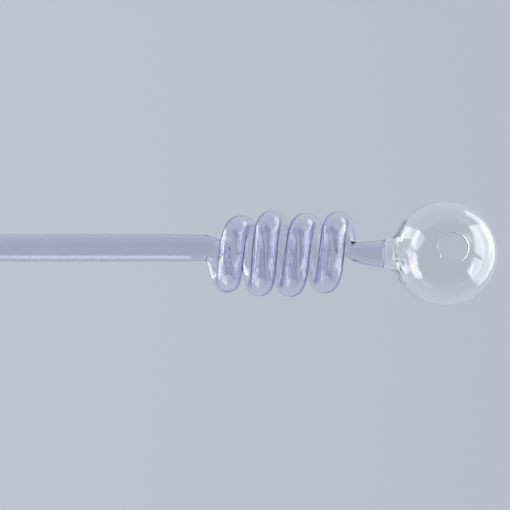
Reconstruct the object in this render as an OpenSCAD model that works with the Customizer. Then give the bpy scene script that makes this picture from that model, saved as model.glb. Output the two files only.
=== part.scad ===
/* [Stem] */
// Outside diameter of the straight stem tube
stem_d = 8; // [7.8:0.1:9]
// Wall of the stem tube
stem_wall = 1.4; // [1.1:0.1:1.6]
// Length from the start of the bore at the mouth to the first bend
stem_len = 94; // [60:1:140]
// Length of the fire-polished mouth
mouth_len = 3; // [2:0.5:8]
// Length over which the stem narrows to the tube of the coil
narrowing_len = 5; // [2:0.5:10]

/* [Coil] */
// Outside diameter of the tube where it is coiled
coil_tube_d = 7.5; // [7:0.1:7.8]
// Wall of the tube where it is coiled
coil_wall = 1.3; // [1:0.1:1.5]
// Distance along the stem from one turn to the next
pitch = 9.7; // [9.2:0.1:12]
// Distance along the stem that the front of a turn covers, from its bottom to its top
front_advance = 3.6; // [2:0.1:5]
// Depth of the tube's centre below the stem's axis at the bottom of each turn
turn_depth = [9.6, 10.7, 10.9, 9.9]; // [9.5:0.1:11.5]
// Height of the tube's centre above the stem's axis at the top of each turn
turn_height = [5.5, 7.0, 6.2, 6.7]; // [5.5:0.1:7.5]

/* [Bends] */
// Radius of the tube's centre line in the tight bends at both ends of the coil
bend_r = 4; // [4:0.1:4.2]
// Angle through which the tube swings in from the coil towards the axis
swing_angle = 110; // [104:1:112]
// Lean of the tube between the stem and the coil
entry_lean = 20; // [14:1:24]
// Lean of the tube between the coil and the neck
exit_lean = 17; // [12:1:22]

/* [Neck and bulb] */
// Outside diameter of the neck at its pinched corner
pinch_d = 5.4; // [5:0.1:6]
// Outside diameter of the neck where it is welded to the clear glass
neck_d = 8.2; // [7.4:0.1:8.6]
// Wall of the neck
neck_wall = 1.2; // [0.9:0.1:1.4]
// Length of the neck, from its pinched corner to the weld
neck_len = 11.1; // [8:0.1:16]
// Distance of the pinched corner below the stem's axis
neck_drop = 0.8; // [0.6:0.1:1.2]
// Downward tilt of the neck
neck_tilt = 4.5; // [2:0.5:6]
// Outside diameter of the clear collar
collar_d = 9; // [8.6:0.1:10]
// Wall of the clear collar
collar_wall = 1.4; // [1:0.1:1.5]
// Distance from the weld to the near side of the bulb
collar_len = 2.6; // [2:0.1:4]
// Outside diameter of the bulb
bulb_d = 30.8; // [28:0.1:34]
// Wall of the bulb
bulb_wall = 1.1; // [0.9:0.1:1.4]
// Distance of the bulb's centre below the stem's axis
bulb_drop = 1.6; // [1:0.1:2.2]
// Diameter of the round vent in the bulb
vent_d = 8.6; // [8:0.1:11]
// Width of the vent's fire-polished lip
lip_w = 0.7; // [0.5:0.1:0.9]

/* [Hidden] */
$fn = 72;

tinted = [0.63, 0.65, 0.76];
clear = [0.80, 0.84, 0.88];

stem_r = stem_d / 2;
stem_bore_r = stem_r - stem_wall;
coil_tube_r = coil_tube_d / 2;
coil_bore_r = coil_tube_r - coil_wall;
pinch_r = pinch_d / 2;
pinch_bore_r = pinch_r - neck_wall;
neck_r = neck_d / 2;
neck_bore_r = neck_r - neck_wall;
collar_r = collar_d / 2;
collar_bore_r = collar_r - collar_wall;
bulb_r = bulb_d / 2;
bulb_bore_r = bulb_r - bulb_wall;
vent_r = vent_d / 2;
lip_r = vent_r + lip_w;

// The tube leaves each end of the coil towards the back, swings round towards the stem's
// axis and then runs straight on to it. This is the length of that straight run for a tube
// that has to come nearer to the axis by drop.
function straight_run(drop, lean) =
    (drop / cos(lean) - bend_r * (1 - cos(swing_angle))) / sin(swing_angle);

// The straight run meets the stem's or the neck's axis at this angle, and the roll about
// the run brings that axis into the plane of the corner.
function corner_angle(lean) = acos(sin(swing_angle) * sin(lean));
function corner_roll(lean) = -atan2(cos(lean), cos(swing_angle) * sin(lean));

entry_run = straight_run(turn_depth[0], entry_lean);
elbow_angle = corner_angle(entry_lean);
elbow_reach = bend_r * tan(elbow_angle / 2);

// The first turn's bottom. The coil lies a little in front of the stem's axis, as far as
// the entry bend carries it.
coil_x = stem_len + elbow_reach + turn_depth[0] * tan(entry_lean);
coil_z = bend_r * sin(swing_angle) + entry_run * cos(swing_angle);
last_turn = len(turn_depth) - 1;

function turn_bottom(i) = [coil_x + i * pitch, -turn_depth[i], coil_z];
function turn_top(i) = [coil_x + i * pitch + front_advance, turn_height[i], coil_z];

// The front of a turn rises from its bottom to its top, and its back falls from there to
// the next turn's bottom.
function front_rise(i) = [front_advance, turn_height[i] + turn_depth[i]];
function back_rise(i) = [front_advance - pitch, turn_height[i] + turn_depth[i + 1]];
function heading(rise) = atan2(rise[1], rise[0]);

// The pinched corner is where the leaning tube meets the neck's axis.
exit_drop = turn_height[last_turn] + neck_drop;
exit_run = straight_run(exit_drop, exit_lean);
corner_x = turn_top(last_turn)[0] + exit_drop * tan(exit_lean);
corner_z = coil_z - bend_r * sin(swing_angle) - exit_run * cos(swing_angle);
corner = [corner_x, -neck_drop, corner_z];
// Length of the neck that belongs to the pinched corner.
stub_len = 1.3 * pinch_r;
// The corner is a ball that swells a little past the two tubes that meet in it.
corner_swell = 0.1;

weld = corner + neck_len * [cos(neck_tilt), -sin(neck_tilt), 0];
bulb_centre = [weld[0] + collar_len + bulb_r, -bulb_drop, corner_z];

// Where the lip's outside cuts the outer and the inner face of the bulb.
lip_top = sqrt(pow(bulb_r, 2) - pow(lip_r, 2));
lip_bottom = sqrt(pow(bulb_bore_r, 2) - pow(lip_r, 2));

// A tube whose centre line is an arc in the XY plane, counter-clockwise from start. roll
// turns its section about the tube, so that two bends meet with their sections in line.
module bent_tube(centre_r, angle, start = 0, roll = 0) {
    rotate_extrude(angle = angle, start = start)
        translate([centre_r, 0])
            rotate(roll)
                difference() {
                    circle(r = coil_tube_r);
                    circle(r = coil_bore_r);
                }
}

// Places its children where the bend that swings in from an end of the coil stops, with the
// straight run along +Y. The coil's end lies at this heading from the bend's centre.
module after_swing(end_heading) {
    rotate([-90, 0, end_heading])
        translate([-bend_r, 0, 0])
            rotate([0, 0, swing_angle])
                translate([bend_r, 0, 0])
                    children();
}

// The fire-polished end of the stem: its rounded tip stands in front of the origin.
module mouth_rim() {
    color(tinted)
        rotate([0, 90, 0])
            rotate_extrude() {
                translate([stem_bore_r, 0])
                    square([stem_wall, mouth_len]);
                translate([stem_bore_r + stem_wall / 2, 0])
                    circle(d = stem_wall);
            }
}

// The straight stem, which narrows to the tube of the coil at its far end.
module stem_tube() {
    straight_end = stem_len - narrowing_len;
    color(tinted)
        rotate([0, 90, 0])
            rotate_extrude()
                polygon([
                    [stem_bore_r, mouth_len],
                    [stem_r, mouth_len],
                    [stem_r, straight_end],
                    [coil_tube_r, stem_len],
                    [coil_bore_r, stem_len],
                    [stem_bore_r, straight_end]
                ]);
}

module stem_bend() {
    leg = entry_run - elbow_reach;
    color(tinted)
        translate(turn_bottom(0))
            after_swing(entry_lean - 90) {
                translate([-bend_r, 0, 0])
                    bent_tube(bend_r, swing_angle, -swing_angle);
                rotate([-90, 0, 0])
                    rotate_extrude()
                        translate([coil_bore_r, 0])
                            square([coil_wall, leg]);
                translate([0, leg, 0])
                    rotate([0, corner_roll(entry_lean), 0])
                        translate([-bend_r, 0, 0])
                            bent_tube(bend_r, elbow_angle, 0, corner_roll(entry_lean));
            }
}

// The front half of a turn, which rises from its bottom to its top.
module coil_front(i) {
    radius = norm(front_rise(i)) / 2;
    color(tinted)
        translate(turn_top(i))
            rotate([90, 0, heading(front_rise(i)) + 180])
                translate([radius, 0, 0])
                    bent_tube(radius, 180);
}

// The back half, which falls from the top to the next turn's bottom.
module coil_back(i) {
    radius = norm(back_rise(i)) / 2;
    color(tinted)
        translate(turn_top(i))
            rotate([-90, 0, heading(back_rise(i))])
                translate([-radius, 0, 0])
                    bent_tube(radius, 180);
}

module coil_front_1() {
    coil_front(0);
}

module coil_back_1() {
    coil_back(0);
}

module coil_front_2() {
    coil_front(1);
}

module coil_back_2() {
    coil_back(1);
}

module coil_front_3() {
    coil_front(2);
}

module coil_back_3() {
    coil_back(2);
}

module coil_front_4() {
    coil_front(3);
}

// The bend that leaves the last turn and swings in towards the neck.
module exit_bend() {
    color(tinted)
        translate(turn_top(last_turn))
            rotate([-90, 0, exit_lean + 90])
                translate([-bend_r, 0, 0])
                    bent_tube(bend_r, swing_angle);
}

// One skin of the pinched corner: the narrowing leg, the round corner and a stub of neck.
module pinch_skin(r1, r2, length) {
    lean = exit_lean + neck_tilt;
    rotate([-90, 0, 0])
        cylinder(r1 = r1, r2 = r2, h = exit_run);
    translate([0, exit_run, 0]) {
        sphere(r = r2 + corner_swell);
        rotate([0, corner_roll(lean), 0])
            rotate([-90, 0, corner_angle(lean)])
                cylinder(r = r2, h = length);
    }
}

module neck_bend() {
    color(tinted)
        translate(turn_top(last_turn))
            after_swing(exit_lean + 90)
                difference() {
                    pinch_skin(coil_tube_r, pinch_r, stub_len);
                    pinch_skin(coil_bore_r, pinch_bore_r, 2 * stub_len);
                    // The ball ends where the bore of the coil's tube begins.
                    rotate([90, 0, 0])
                        cylinder(r = coil_bore_r, h = pinch_r);
                }
}

module neck_tube() {
    color(tinted)
        translate(corner)
            rotate([0, 90, -neck_tilt])
                rotate_extrude()
                    polygon([
                        [pinch_bore_r, stub_len],
                        [pinch_r, stub_len],
                        [neck_r, neck_len],
                        [neck_bore_r, neck_len]
                    ]);
}

// A round bar along the neck's axis, from the weld into the bulb.
module collar_bar(r) {
    translate(weld)
        rotate([0, 90, -neck_tilt])
            cylinder(r = r, h = collar_len + bulb_r / 2);
}

module bulb_collar() {
    color(clear)
        difference() {
            collar_bar(collar_r);
            collar_bar(collar_bore_r);
            translate(bulb_centre)
                sphere(r = bulb_r);
        }
}

module bulb() {
    color(clear)
        difference() {
            translate(bulb_centre)
                difference() {
                    sphere(r = bulb_r);
                    sphere(r = bulb_bore_r);
                    cylinder(r = lip_r, h = bulb_d);
                }
            collar_bar(collar_bore_r);
        }
}

// The bead that stands a little proud of the bulb, inside and out, round the vent.
module vent_lip() {
    color(clear)
        translate(bulb_centre)
            rotate_extrude() {
                translate([vent_r, lip_bottom])
                    square([lip_w, lip_top - lip_bottom]);
                translate([vent_r + lip_w / 2, lip_bottom])
                    circle(d = lip_w);
                translate([vent_r + lip_w / 2, lip_top])
                    circle(d = lip_w);
            }
}

mouth_rim();
stem_tube();
stem_bend();
coil_front_1();
coil_back_1();
coil_front_2();
coil_back_2();
coil_front_3();
coil_back_3();
coil_front_4();
exit_bend();
neck_bend();
neck_tube();
bulb_collar();
bulb();
vent_lip();
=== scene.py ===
import math

import bpy
import numpy as np
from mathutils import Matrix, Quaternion, Vector, noise


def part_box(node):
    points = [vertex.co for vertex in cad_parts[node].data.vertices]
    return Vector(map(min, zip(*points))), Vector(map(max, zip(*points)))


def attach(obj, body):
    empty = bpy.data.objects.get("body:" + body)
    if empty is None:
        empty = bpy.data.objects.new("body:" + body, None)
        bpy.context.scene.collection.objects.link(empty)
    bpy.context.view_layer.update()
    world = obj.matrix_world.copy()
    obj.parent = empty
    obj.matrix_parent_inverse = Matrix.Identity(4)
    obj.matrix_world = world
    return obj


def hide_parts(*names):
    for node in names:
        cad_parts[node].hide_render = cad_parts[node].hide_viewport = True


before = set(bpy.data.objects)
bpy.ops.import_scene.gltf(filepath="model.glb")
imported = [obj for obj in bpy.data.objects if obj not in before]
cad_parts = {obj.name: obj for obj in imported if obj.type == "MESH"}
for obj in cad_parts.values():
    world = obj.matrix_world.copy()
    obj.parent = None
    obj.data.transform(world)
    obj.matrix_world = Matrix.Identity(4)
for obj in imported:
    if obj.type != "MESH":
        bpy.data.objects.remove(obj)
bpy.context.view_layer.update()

# Lengths are in millimetres, in the CAD's frame, unless a comment says metres.
MM = 0.001

# The camera looks almost straight down: azimuth 0, this elevation, in degrees.
CAMERA_ELEVATION = 83.0
CAMERA_DISTANCE = 325.0
CAMERA_TARGET = (108.3, -2.0, -1.0)
CAMERA_LENS = 77.5
CAMERA_SENSOR = 36.0
CAMERA_CLIP = 10.0


# ---------------------------------------------------------------- places from the CAD
def box_mm(node):
    """The CAD node's lowest and highest corners."""
    low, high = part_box(node)
    return np.array(low) / MM, np.array(high) / MM


# The tube's radii along its length, outside and bore.
STEM_R, STEM_BORE_R = 4.0, 2.6
COIL_R, COIL_BORE_R = 3.75, 2.45
THINNING_R, THINNING_BORE_R = 3.5, 2.2
PINCH_R, PINCH_BORE_R = 2.7, 1.55
NECK_R, NECK_BORE_R = 4.1, 2.9
# The stem narrows to the coil's tube over this length, up to its end.
NARROWING = 5.0
# Places along the tube, from the pinched corner: the thinning radius, and the pinch's two ends.
THINNING_AT, PINCH_FROM, PINCH_TO = -6.5, -1.2, 0.8

TURNS = 4
# Bending flattens the coiled tube: its section's size towards the coil's axis and along it.
FLATTENED, WIDENED = 0.87, 0.98
# The flattening fades in and out over this length of tube, outside the coil.
FLATTENING_FADE = 5
# How far the tube moves along the coil at the bottom and at the top of a turn, per radian.
ADVANCE_LOW, ADVANCE_HIGH = 1.5, 3.2
# A coil wound by hand isn't even: how far the bottom and the top of each turn lie along X
# from their places in the CAD.
LOW_SHIFT = (-0.2, -0.3, -1.0, -0.7)
HIGH_SHIFT = (0.7, 0.2, 0.2, 0.1)

# Centre-line radii of the bends: into and out of the coil, at the pinch, and in the neck.
BEND_R = 4.0
PINCH_BEND_R = 3.6
NECK_BEND_R = 12.0
# The angle of the two bends that swing into and out of the coil, and the lean of the first.
SWING = math.radians(110)
ENTRY_LEAN = math.radians(20)
# Where the pinched corner lies, and how far before the weld the neck's last corner lies.
PINCH_X, PINCH_Y = 135.35, -0.8
NECK_CORNER_X, NECK_CORNER_Y = 2.5, 0.02

STEM_END = box_mm("stem_tube")[1][0]
FLOOR_Z = min(box_mm("bulb")[0][2], box_mm("vent_lip")[0][2])

bulb_low, bulb_high = box_mm("bulb")
BULB_R = (bulb_high[1] - bulb_low[1]) / 2
BULB_WALL = 1.1
VENT_R = 4.2
BULB_CENTRE = np.array([
    bulb_high[0] - BULB_R,
    (bulb_high[1] + bulb_low[1]) / 2,
    bulb_low[2] + BULB_R,
])
# The CAD's collar is tilted, so its box starts this far before the middle of the weld.
WELD_INSET = 0.3
WELD = np.array([box_mm("bulb_collar")[0][0] + WELD_INSET, BULB_CENTRE[1], BULB_CENTRE[2]])


def coil_points():
    """The centre line's points at the bottom and top of each turn, from the CAD's half turns."""
    points = []
    flat_r = COIL_R * FLATTENED
    for turn in range(1, TURNS + 1):
        low, high = box_mm(f"coil_front_{turn}")
        bottom_x = low[0] + COIL_R + LOW_SHIFT[turn - 1]
        top_x = high[0] - COIL_R + HIGH_SHIFT[turn - 1]
        points.append(np.array([bottom_x, low[1] + flat_r, low[2]]))
        points.append(np.array([top_x, high[1] - flat_r, low[2]]))
    return points


# ---------------------------------------------------------------- centre line of the tube
# The spacing of the line's points, and the width of the filter that smooths it.
STEP = 0.35
SMOOTHING = 0.55
HALF_TURN_STEPS = 60
MIN_BEND_STEPS = 4
# Points closer than this are the same point.
MIN_GAP = 1e-6


def unit(v):
    return v / np.linalg.norm(v)


def distances(points):
    """How far along the line each of its points lies."""
    gaps = np.linalg.norm(np.diff(points, axis=0), axis=1)
    return np.concatenate([[0], np.cumsum(gaps)])


def rounded(corners, radii):
    """Points along a polyline whose inner corners are rounded to the given radii."""
    out = [corners[0]]
    for i in range(1, len(corners) - 1):
        corner, radius = corners[i], radii[i - 1]
        into, away = unit(corner - corners[i - 1]), unit(corners[i + 1] - corner)
        turn = math.acos(float(np.clip(into @ away, -1, 1)))
        reach = radius * math.tan(turn / 2)
        start = corner - into * reach
        inward = unit(away - into * (into @ away))
        centre = start + inward * radius
        count = max(MIN_BEND_STEPS, int(radius * turn / STEP))
        for k in range(count + 1):
            a = turn * k / count
            out.append(centre - inward * radius * math.cos(a) + into * radius * math.sin(a))
    out.append(corners[-1])
    return out


def half_turn(start, end, side):
    """Points from one end of a half turn to the other, through the front (side 1) or back
    (-1). The tube keeps moving on along the coil as it goes over the top and bottom."""
    centre, arm = (start + end) / 2, (start - end) / 2
    radius = math.hypot(arm[0], arm[1])
    first, last = (ADVANCE_LOW, ADVANCE_HIGH) if side > 0 else (ADVANCE_HIGH, ADVANCE_LOW)
    points = []
    for a in np.linspace(0, math.pi, HALF_TURN_STEPS)[1:-1]:
        t = a / math.pi
        ease = t * t * (3 - 2 * t)
        drift = math.pi * (first * t * (1 - t) ** 2 - last * t * t * (1 - t))
        x = start[0] + (end[0] - start[0]) * ease + drift
        y = centre[1] + arm[1] * math.cos(a)
        points.append(np.array([x, y, start[2] + side * radius * math.sin(a)]))
    return points


def centre_line():
    """The tube's centre line, and how far along it the coil starts, the coil ends, the
    pinched corner lies and the tube ends."""
    turns = coil_points()
    reach = BEND_R * math.tan(SWING / 2)
    radius = (turns[1][1] - turns[0][1]) / 2
    rising = reach * unit(np.array([ADVANCE_LOW, 0, radius]))
    falling = reach * unit(np.array([ADVANCE_HIGH, 0, -radius]))
    elbow_angle = math.acos(math.sin(SWING) * math.sin(ENTRY_LEAN))
    elbow = np.array([STEM_END + BEND_R * math.tan(elbow_angle / 2), 0, 0])
    line = rounded([np.zeros(3), elbow, turns[0] - rising, turns[0]], [BEND_R, BEND_R])
    coil_start = len(line)
    for i in range(len(turns) - 1):
        line += half_turn(turns[i], turns[i + 1], 1 if i % 2 == 0 else -1)
        line.append(turns[i + 1])
    coil_end = len(line)
    pinch = np.array([PINCH_X, PINCH_Y, WELD[2]])
    neck_corner = np.array([WELD[0] - NECK_CORNER_X, WELD[1] - NECK_CORNER_Y, WELD[2]])
    tail = rounded([turns[-1], turns[-1] + falling, pinch, neck_corner, WELD],
                   [BEND_R, PINCH_BEND_R, NECK_BEND_R])
    line = np.array(line + tail[1:])
    along = distances(line)
    pinched = along[np.argmin(np.linalg.norm(line - pinch, axis=1))]
    return line, along[coil_start], along[coil_end], pinched, along[-1]


def resample(points):
    """The same line with its points about one STEP apart."""
    gaps = np.linalg.norm(np.diff(points, axis=0), axis=1)
    points = points[np.concatenate([[True], gaps > MIN_GAP])]
    along = distances(points)
    want = np.linspace(0, along[-1], int(along[-1] / STEP) + 1)
    return np.stack([np.interp(want, along, points[:, k]) for k in range(3)], axis=1)


def smooth(points):
    """The line filtered by a bell curve, with both of its ends kept in place."""
    reach = int(4 * SMOOTHING / STEP)
    kernel = np.exp(-0.5 * (np.arange(-reach, reach + 1) * STEP / SMOOTHING) ** 2)
    kernel /= kernel.sum()
    first, last = points[0], points[-1]
    head = [2 * first - points[i] for i in range(reach, 0, -1)]
    tail = [2 * last - points[-1 - i] for i in range(1, reach + 1)]
    padded = np.concatenate([head, points, tail])
    return np.stack([np.convolve(padded[:, k], kernel, "valid") for k in range(3)], axis=1)


def frames(points):
    """Unit tangents and two unit normals that don't twist about the line."""
    tangents = np.gradient(points, axis=0)
    tangents /= np.linalg.norm(tangents, axis=1)[:, None]
    side = unit(np.cross(tangents[0], [0.0, 0.0, 1.0]))
    sides = []
    for t in tangents:
        side = unit(side - t * (side @ t))
        sides.append(side)
    sides = np.array(sides)
    return tangents, sides, np.cross(tangents, sides)


# ---------------------------------------------------------------- meshes
def mesh_object(name, vertices, faces):
    mesh = bpy.data.meshes.new(name)
    mesh.from_pydata([Vector(v) * MM for v in vertices], [], faces)
    mesh.validate()
    mesh.update()
    mesh.polygons.foreach_set("use_smooth", [True] * len(mesh.polygons))
    obj = bpy.data.objects.new(name, mesh)
    bpy.context.scene.collection.objects.link(obj)
    return obj


def band(first, second):
    """Quads between two closed rings of vertex numbers."""
    count = len(first)
    return [(first[k], first[(k + 1) % count], second[(k + 1) % count], second[k])
            for k in range(count)]


# Where glass was worked hard in the flame, its surface is wavy.
WAVE_LENGTH, WAVE_HEIGHT = 1.5, 0.2
BULB_WAVES_REACH, BEND_WAVES_REACH = 3.4, 5.0
# The middle of the elbow's waves, along the tube from the stem's end.
ELBOW_WAVES_AT = 3.0
# noise_vector() gives other waves in each run unless it is seeded.
WAVE_SEED = 2
noise.seed_set(WAVE_SEED)


def wavy(point, away, reach):
    """The point moved by the waves of a worked spot, which fade out at reach from it."""
    near = max(0.0, 1 - away / reach)
    shift = noise.noise_vector(Vector(point) / WAVE_LENGTH)
    return point + WAVE_HEIGHT * near * near * (3 - 2 * near) * np.array(shift)


# Glass drawn and bent by hand is never quite even in thickness. Each row has a height, its
# waves per millimetre, and the line through the noise that it follows.
UNEVEN_WAVES = ((0.035, 0.09, (3.1, 0.5)), (0.02, 0.21, (7.7, 0.5)))
UNEVEN_ON_STEM, UNEVEN_ON_COIL, UNEVEN_ON_NECK = 0.15, 1, 0.2
# Where they grow, from the stem's end, and where they fade, from the pinched corner.
UNEVEN_GROWS, UNEVEN_FADES = (-2, 6), (-4, 0)
UNEVEN_IN_BORE = 0.5

AROUND = 64
MOUTH_STEPS = 12
# On the straight stem one ring in this many is kept, up to this far before it narrows.
STEM_RING_EVERY = 6
STEM_RINGS_STOP = 3


def tinted_tube():
    """The whole tinted tube, outside and bore, from its mouth to the weld."""
    line, coil_start, coil_end, pinched, end = centre_line()
    points = smooth(resample(line))
    tangents, sides, ups = frames(points)
    along = distances(points)
    along *= end / along[-1]

    keys = [0, STEM_END - NARROWING, STEM_END, coil_end, pinched + THINNING_AT,
            pinched + PINCH_FROM, pinched + PINCH_TO, end]
    outer = np.interp(along, keys, [STEM_R, STEM_R, COIL_R, COIL_R, THINNING_R,
                                    PINCH_R, PINCH_R, NECK_R])
    bore = np.interp(along, keys, [STEM_BORE_R, STEM_BORE_R, COIL_BORE_R, COIL_BORE_R,
                                   THINNING_BORE_R, PINCH_BORE_R, PINCH_BORE_R, NECK_BORE_R])

    uneven = np.array([
        sum(height * noise.noise(Vector((s * per_mm, *track)))
            for height, per_mm, track in UNEVEN_WAVES)
        for s in along
    ])
    uneven *= np.interp(along, [*(STEM_END + d for d in UNEVEN_GROWS),
                                *(pinched + d for d in UNEVEN_FADES)],
                        [UNEVEN_ON_STEM, UNEVEN_ON_COIL, UNEVEN_ON_COIL, UNEVEN_ON_NECK])
    outer = outer + uneven
    bore = bore + uneven * UNEVEN_IN_BORE

    coil_axis_y = points[(along > coil_start) & (along < coil_end)][:, 1].mean()
    coil_axis_z = coil_points()[0][2]
    flattening = np.interp(along, [coil_start - FLATTENING_FADE, coil_start,
                                   coil_end, coil_end + FLATTENING_FADE], [0, 1, 1, 0])
    angles = np.linspace(0, 2 * math.pi, AROUND, endpoint=False)
    cos, sin = np.cos(angles)[:, None], np.sin(angles)[:, None]

    def ring(i, radius, ahead=0.0):
        """The tube's ring of this radius round point i, moved ahead along the line."""
        ways = cos * sides[i] + sin * ups[i]
        out = np.array([0, points[i][1] - coil_axis_y, points[i][2] - coil_axis_z])
        out = unit(out - tangents[i] * (out @ tangents[i]))
        share = (ways @ out)[:, None] ** 2
        oval = 1 / np.sqrt(share / FLATTENED ** 2 + (1 - share) / WIDENED ** 2)
        radii = radius * (1 + (oval - 1) * flattening[i])
        around = points[i] + tangents[i] * ahead + radii * ways
        away = min(abs(along[i] - STEM_END - ELBOW_WAVES_AT), abs(along[i] - pinched))
        return np.array([wavy(p, away, BEND_WAVES_REACH) for p in around])

    keep = [i for i, s in enumerate(along)
            if i % STEM_RING_EVERY == 0 or i == len(along) - 1
            or s > STEM_END - NARROWING - STEM_RINGS_STOP]
    rings = [ring(i, outer[i]) for i in keep]
    rings += [ring(i, bore[i]) for i in reversed(keep)]
    # The fire-polished mouth: a bead that joins the bore to the outside.
    middle, bead = (outer[0] + bore[0]) / 2, (outer[0] - bore[0]) / 2
    for k in range(1, MOUTH_STEPS):
        a = math.pi * k / MOUTH_STEPS
        rings.append(ring(0, middle - bead * math.cos(a), -bead * math.sin(a)))

    faces = []
    for r in range(len(rings)):
        here, following = r * AROUND, (r + 1) % len(rings) * AROUND
        faces += band(range(here, here + AROUND), range(following, following + AROUND))
    return mesh_object("tinted_tube", np.concatenate(rings), faces)


# The bulb's skins are grids of this many columns, with a square patch of this many cells a
# side round -X, where the collar leaves.
COLUMNS = 160
PATCH = 36
PATCH_RINGS = 10
ROW_STEP = 2 * math.pi / COLUMNS
# The grid's last full row stays this share of a row away from the vent.
LAST_ROW_GAP = 0.4


def bulb_skin(radius, top_angle, hole_angle, flip):
    """One skin of the bulb round +Z, from its bottom pole up to top_angle from +Z. A square
    patch round -X gives way to rings that end in a circle, the hole, at hole_angle from -X.
    flip turns the faces to look inwards. Returns vertices, faces, the vertex numbers of the
    top ring and of the hole's ring, and the angles of the hole's ring."""
    half_patch = PATCH // 2
    rows_below = COLUMNS // 4
    lats = [-math.pi / 2 + r * ROW_STEP for r in range(1, rows_below + 1)]
    top = math.pi / 2 - top_angle
    above = int(top / ROW_STEP)
    lats += [r * ROW_STEP for r in range(1, above + 1)
             if r * ROW_STEP < top - LAST_ROW_GAP * ROW_STEP]
    lats.append(top)
    vertices = [np.array([0, 0, -radius])]
    grid = {}
    first_col, last_col = COLUMNS // 2 - half_patch, COLUMNS // 2 + half_patch
    equator = rows_below - 1
    low_row, high_row = equator - half_patch, equator + half_patch

    for r, lat in enumerate(lats):
        for c in range(COLUMNS):
            if low_row < r < high_row and first_col < c < last_col:
                continue
            lon = c * ROW_STEP
            grid[r, c] = len(vertices)
            vertices.append(radius * np.array([math.cos(lat) * math.cos(lon),
                                               math.cos(lat) * math.sin(lon), math.sin(lat)]))
    faces = []

    def face(*corners):
        faces.append(tuple(reversed(corners)) if flip else tuple(corners))

    for c in range(COLUMNS):
        face(0, grid[0, (c + 1) % COLUMNS], grid[0, c])
    for r in range(len(lats) - 1):
        for c in range(COLUMNS):
            n = (c + 1) % COLUMNS
            if low_row <= r < high_row and first_col <= c < last_col:
                continue
            face(grid[r, c], grid[r, n], grid[r + 1, n], grid[r + 1, c])

    # The patch's border, counter-clockwise as seen from outside, from -X.
    border = [(low_row, c) for c in range(first_col, last_col)]
    border += [(r, last_col) for r in range(low_row, high_row)]
    border += [(high_row, c) for c in range(last_col, first_col, -1)]
    border += [(r, first_col) for r in range(high_row, low_row, -1)]
    previous = [grid[key] for key in border]
    flat = []
    for index in previous:
        v = vertices[index] / radius
        away = math.acos(float(np.clip(-v[0], -1, 1)))
        turn = math.atan2(v[2], v[1])
        flat.append((away * math.cos(turn), away * math.sin(turn), turn))
    for k in range(1, PATCH_RINGS + 1):
        mix = k / PATCH_RINGS
        ring = []
        for x, y, turn in flat:
            px = x * (1 - mix) + hole_angle * math.cos(turn) * mix
            py = y * (1 - mix) + hole_angle * math.sin(turn) * mix
            away, at = math.hypot(px, py), math.atan2(py, px)
            ring.append(len(vertices))
            vertices.append(radius * np.array([-math.cos(away), math.sin(away) * math.cos(at),
                                               math.sin(away) * math.sin(at)]))
        for corners in band(previous, ring):
            face(*corners)
        previous = ring
    top_ring = [grid[len(lats) - 1, c] for c in range(COLUMNS)]
    return vertices, faces, top_ring, previous, [turn for _, _, turn in flat]


CURVE_STEPS = 9


def curve(points):
    """Points along a cubic Bezier curve, both ends included."""
    a, b, c, d = (np.array(p) for p in points)
    out = []
    for k in range(CURVE_STEPS + 1):
        t = k / CURVE_STEPS
        p = a * (1 - t) ** 3 + b * 3 * t * (1 - t) ** 2 + c * 3 * t * t * (1 - t) + d * t ** 3
        out.append((float(p[0]), float(p[1])))
    return out


# The vent's bead: its radius, how much taller than round it is, how far it stands out, how
# far outside its middle the skins end, and its arc to each side in degrees.
LIP_R = 0.6
LIP_TALLER = 0.06
LIP_PROUD = 0.08
LIP_GRIP = 0.25
LIP_ARC = 62
LIP_STEPS = 12
# The radii at which the collar's outside and bore meet the bulb's skins.
FOOT_R, BORE_FOOT_R = 6.6, 5.2
# The bulb's piece stops this far from the tube's.
WELD_GAP = 0.02


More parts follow.
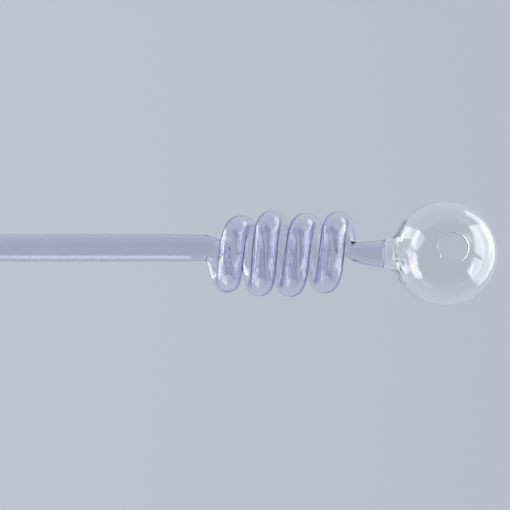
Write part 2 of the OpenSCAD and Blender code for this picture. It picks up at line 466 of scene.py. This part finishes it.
def clear_bulb():
    """The bulb with both its skins, the vent's bead, and the collar up to the weld."""
    outer_r, inner_r = BULB_R, BULB_R - BULB_WALL
    lip_centre_r = VENT_R + LIP_R
    top_outer = math.asin((lip_centre_r + LIP_GRIP) / outer_r)
    top_inner = math.asin((lip_centre_r + LIP_GRIP) / inner_r)
    outer_hole = math.asin(FOOT_R / outer_r)
    inner_hole = math.asin(BORE_FOOT_R / inner_r)
    vertices, faces, outer_top, outer_foot, turns = bulb_skin(
        outer_r, top_outer, outer_hole, False)
    inner_vertices, inner_faces, inner_top, inner_foot, _ = bulb_skin(
        inner_r, top_inner, inner_hole, True)
    shift = len(vertices)
    vertices += inner_vertices
    faces += [tuple(i + shift for i in f) for f in inner_faces]
    inner_top = [i + shift for i in inner_top]
    inner_foot = [i + shift for i in inner_foot]

    def add_ring(previous, ring_vertices):
        """Adds a ring, and the faces between the previous ring and this one."""
        ring = list(range(len(vertices), len(vertices) + len(ring_vertices)))
        vertices.extend(ring_vertices)
        faces.extend(band(previous, ring))
        return ring

    # The vent's lip: from the outer skin over a bead to the inner skin.
    z_outer = outer_r * math.cos(top_outer)
    z_inner = inner_r * math.cos(top_inner)
    middle = (z_outer + z_inner) / 2 + LIP_PROUD
    lons = [c * ROW_STEP for c in range(COLUMNS)]
    previous = outer_top
    for k in range(LIP_STEPS + 1):
        a = math.radians(LIP_ARC) - k / LIP_STEPS * math.radians(2 * LIP_ARC)
        r = lip_centre_r - LIP_R * math.cos(a)
        z = middle + (LIP_R + LIP_TALLER) * math.sin(a)
        previous = add_ring(previous, [np.array([r * math.cos(lon), r * math.sin(lon), z])
                                       for lon in lons])
    faces += band(previous, inner_top)

    # The collar's section, out along its outside and back along its bore. Each point is its
    # distance before the bulb's centre and its radius.
    weld = BULB_CENTRE[0] - WELD[0] - WELD_GAP
    foot = outer_r * math.cos(outer_hole)
    bore_foot = inner_r * math.cos(inner_hole)
    section = curve([(foot, FOOT_R), (foot + 0.75, 4.85), (weld - 1.9, 4.45), (weld - 0.2, 4.3)])
    section += [(weld, 4.12), (weld, 2.95)]
    section += curve([(weld - 0.3, 2.92), (weld - 1.6, 2.95),
                      (bore_foot + 1.4, 3.6), (bore_foot, BORE_FOOT_R)])
    previous = outer_foot
    for ahead, r in section[1:-1]:
        previous = add_ring(previous, [
            np.array([-ahead, r * math.cos(turn), r * math.sin(turn)]) for turn in turns])
    faces += band(previous, inner_foot)

    # The joint was worked by hand in the flame, so the glass round it is wavy.
    vertices = [wavy(v, abs(v[0] + foot), BULB_WAVES_REACH) + BULB_CENTRE for v in vertices]
    return mesh_object("clear_bulb", vertices, faces)


# ---------------------------------------------------------------- materials
GLASS_IOR = 1.47
# Each noise has a scale, a detail, and a stretch that draws it out along the pipe.
TINT_NOISE = (120, 2, (1, 1, 1))
GLOSS_NOISE = (260, 3, (0.4, 1, 1))
STRIAE_NOISE = (170, 1, (0.3, 1, 1))
TINT_FROM, TINT_TO = 0.3, 0.7


def glass(name, low_tint, high_tint, sheen, roughness, bump, absorb, density):
    """Clear glass with faint striae, a little uneven in tint, gloss and surface. It colours
    light at its surface, between the two tints, and more where there is more glass to cross.
    sheen is the strength of its reflections, and bump the striae's height in metres."""
    material = bpy.data.materials.new(name)
    material.use_nodes = True
    nodes, links = material.node_tree.nodes, material.node_tree.links
    shader = nodes["Principled BSDF"]
    shader.inputs["Transmission Weight"].default_value = 1.0
    shader.inputs["IOR"].default_value = GLASS_IOR
    shader.inputs["Specular Tint"].default_value = (sheen, sheen, sheen, 1)
    place = nodes.new("ShaderNodeTexCoord")

    def noise_from(scale, detail, stretch):
        mapping = nodes.new("ShaderNodeMapping")
        mapping.inputs["Scale"].default_value = stretch
        links.new(place.outputs["Object"], mapping.inputs["Vector"])
        texture = nodes.new("ShaderNodeTexNoise")
        texture.inputs["Scale"].default_value = scale
        texture.inputs["Detail"].default_value = detail
        links.new(mapping.outputs["Vector"], texture.inputs["Vector"])
        return texture.outputs["Fac"]

    ramp = nodes.new("ShaderNodeValToRGB")
    low, high = ramp.color_ramp.elements
    low.position, high.position = TINT_FROM, TINT_TO
    low.color, high.color = (*low_tint, 1), (*high_tint, 1)
    links.new(noise_from(*TINT_NOISE), ramp.inputs["Fac"])
    links.new(ramp.outputs["Color"], shader.inputs["Base Color"])

    gloss = nodes.new("ShaderNodeMapRange")
    gloss.inputs["To Min"].default_value, gloss.inputs["To Max"].default_value = roughness
    links.new(noise_from(*GLOSS_NOISE), gloss.inputs["Value"])
    links.new(gloss.outputs["Result"], shader.inputs["Roughness"])

    striae = nodes.new("ShaderNodeBump")
    striae.inputs["Strength"].default_value = 1.0
    striae.inputs["Distance"].default_value = bump
    links.new(noise_from(*STRIAE_NOISE), striae.inputs["Height"])
    links.new(striae.outputs["Normal"], shader.inputs["Normal"])

    volume = nodes.new("ShaderNodeVolumeAbsorption")
    volume.inputs["Color"].default_value = (*absorb, 1)
    volume.inputs["Density"].default_value = density
    links.new(volume.outputs["Volume"], nodes["Material Output"].inputs["Volume"])
    return material


def floor_material():
    """Matt grey that glows a little, so that the floor is as even as the photo's."""
    material = bpy.data.materials.new("floor_paint")
    material.use_nodes = True
    shader = material.node_tree.nodes["Principled BSDF"]
    shader.inputs["Base Color"].default_value = (0.24, 0.256, 0.284, 1)
    shader.inputs["Roughness"].default_value = 0.8
    shader.inputs["Specular IOR Level"].default_value = 0.0
    shader.inputs["Emission Color"].default_value = (0.49, 0.53, 0.61, 1)
    shader.inputs["Emission Strength"].default_value = 0.775
    return material


# ---------------------------------------------------------------- the two pieces
tube = tinted_tube()
tube.data.materials.append(glass(
    "tinted_glass", low_tint=(0.974, 0.964, 0.992), high_tint=(0.994, 0.984, 1.0), sheen=1.0,
    roughness=(0.0, 0.03), bump=0.000002, absorb=(0.24, 0.22, 0.71), density=88.0))
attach(tube, "root")
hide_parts("mouth_rim", "stem_tube", "stem_bend",
            "coil_front_1", "coil_back_1", "coil_front_2", "coil_back_2",
            "coil_front_3", "coil_back_3", "coil_front_4", "exit_bend",
            "neck_bend", "neck_tube")

bulb = clear_bulb()
bulb.data.materials.append(glass(
    "clear_glass", low_tint=(0.98, 0.985, 0.99), high_tint=(0.995, 0.997, 1.0), sheen=0.68,
    roughness=(0.0, 0.02), bump=0.000015, absorb=(0.5, 0.7, 0.8), density=6.0))
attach(bulb, "root")
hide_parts("bulb_collar", "bulb", "vent_lip")

# The photo shows no shadow of the glass.
for piece in (tube, bulb):
    piece.visible_shadow = piece.visible_diffuse = False

# ---------------------------------------------------------------- floor, light and camera
FLOOR_HALF = 3000.0
FLOOR_GAP = 0.02

floor = mesh_object(
    "floor",
    [(x * FLOOR_HALF, y * FLOOR_HALF, FLOOR_Z - FLOOR_GAP)
     for x, y in ((-1, -1), (1, -1), (1, 1), (-1, 1))],
    [(0, 1, 2, 3)])
floor.data.materials.append(floor_material())
floor.visible_glossy = False


SOFTBOX_DISTANCE = 1000


def soft_light(name, place, back, size, radiance, roll=0.0):
    """A rectangle of soft light at place, in metres, that shines away from back and is rolled
    about that line, in degrees. It shows in the glass, but not to the camera or on the floor."""
    data = bpy.data.lights.new(name, "AREA")
    data.shape = "RECTANGLE"
    data.size, data.size_y = (s * MM for s in size)
    data.energy = radiance * math.pi * data.size * data.size_y
    light = bpy.data.objects.new(name, data)
    light.location = place
    light.rotation_mode = "QUATERNION"
    rolled = Quaternion((0, 0, 1), math.radians(roll))
    light.rotation_quaternion = back.to_track_quat("Z", "Y") @ rolled
    light.visible_camera = light.visible_diffuse = False
    bpy.context.scene.collection.objects.link(light)
    return light


def softbox(name, azimuth, elevation, size, radiance, roll=0.0, distance=SOFTBOX_DISTANCE):
    """A soft light aimed at the bulb. Azimuth is from +X towards +Y, in degrees."""
    a, e = math.radians(azimuth), math.radians(elevation)
    way = Vector((math.cos(a) * math.cos(e), math.sin(a) * math.cos(e), math.sin(e)))
    place = Vector(BULB_CENTRE) * MM + way * distance * MM
    return soft_light(name, place, way, size, radiance, roll)


left = softbox("softbox_left", 172, -12, (1320, 1060), 5.4)
softbox("softbox_right_back", 17, 3, (980, 890), 4.9, roll=-20)
softbox("softbox_right_front", -28, 10, (580, 780), 4.6)
softbox("bounce_right", 11, -26, (2150, 420), 3.0)
# This strip shows along the stem.
strip = soft_light("strip_front", (0.048, -0.065, 0.0), Vector((0, -1, 0)), (84, 36), 4.0)
# These two show only as reflections.
left.visible_transmission = strip.visible_transmission = False
# Panels of the tent's wall that show only through the glass, round the vent's lip.
for azimuth, radiance in ((60, 2.0), (148, 8.0), (212, 8.0), (300, 2.0)):
    panel = softbox(f"panel_{azimuth}", azimuth, 2, (400, 70), radiance)
    panel.visible_glossy = False
# This one lights only the floor.
fill = softbox("fill", 180, 40, (800, 800), 2.2, distance=800)
fill.visible_diffuse = True
fill.visible_glossy = fill.visible_transmission = False

# The light tent round the object is brighter at some heights than at others, and leans
# towards the camera's lower edge. Each height runs from 0, straight down, to 1, straight up.
TENT_LEAN = math.radians(5)
TENT_BRIGHTNESS = ((0.0, 0.35), (0.07, 0.75), (0.28, 1.25), (0.42, 0.85),
                   (0.52, 0.62), (0.58, 0.45), (0.63, 0.13), (0.8, 0.08))
TENT_RED, TENT_BLUE = 0.95, 1.08

world = bpy.data.worlds.new("light_tent")
world.use_nodes = True
bpy.context.scene.world = world
nodes, links = world.node_tree.nodes, world.node_tree.links
place = nodes.new("ShaderNodeTexCoord")
upward = nodes.new("ShaderNodeVectorMath")
upward.operation = "DOT_PRODUCT"
upward.inputs[1].default_value = (0, -math.sin(TENT_LEAN), math.cos(TENT_LEAN))
links.new(place.outputs["Generated"], upward.inputs[0])
height = nodes.new("ShaderNodeMapRange")
height.inputs["From Min"].default_value = -1.0
links.new(upward.outputs["Value"], height.inputs["Value"])
ramp = nodes.new("ShaderNodeValToRGB")
links.new(height.outputs["Result"], ramp.inputs["Fac"])
elements = ramp.color_ramp.elements
while len(elements) < len(TENT_BRIGHTNESS):
    elements.new(0.5)
for element, (position, value) in zip(elements, TENT_BRIGHTNESS):
    element.position = position
    element.color = (value * TENT_RED, value, value * TENT_BLUE, 1)
background = nodes["Background"]
background.inputs["Strength"].default_value = 1.0
links.new(ramp.outputs["Color"], background.inputs["Color"])

camera_data = bpy.data.cameras.new("camera")
camera_data.lens = CAMERA_LENS
camera_data.sensor_width = CAMERA_SENSOR
camera_data.clip_start = CAMERA_CLIP * MM
camera = bpy.data.objects.new("camera", camera_data)
tilt = math.radians(CAMERA_ELEVATION)
back = Vector((0, -math.cos(tilt), math.sin(tilt)))
camera.location = (Vector(CAMERA_TARGET) + back * CAMERA_DISTANCE) * MM
camera.rotation_mode = "QUATERNION"
camera.rotation_quaternion = (-back).to_track_quat("-Z", "Y")
bpy.context.scene.collection.objects.link(camera)
bpy.context.scene.camera = camera

# Light crosses many walls of glass in the coil.
scene = bpy.context.scene
scene.view_settings.view_transform = "Standard"
scene.cycles.max_bounces = 40
scene.cycles.transmission_bounces = 36
scene.cycles.glossy_bounces = 16
scene.cycles.transparent_max_bounces = 16
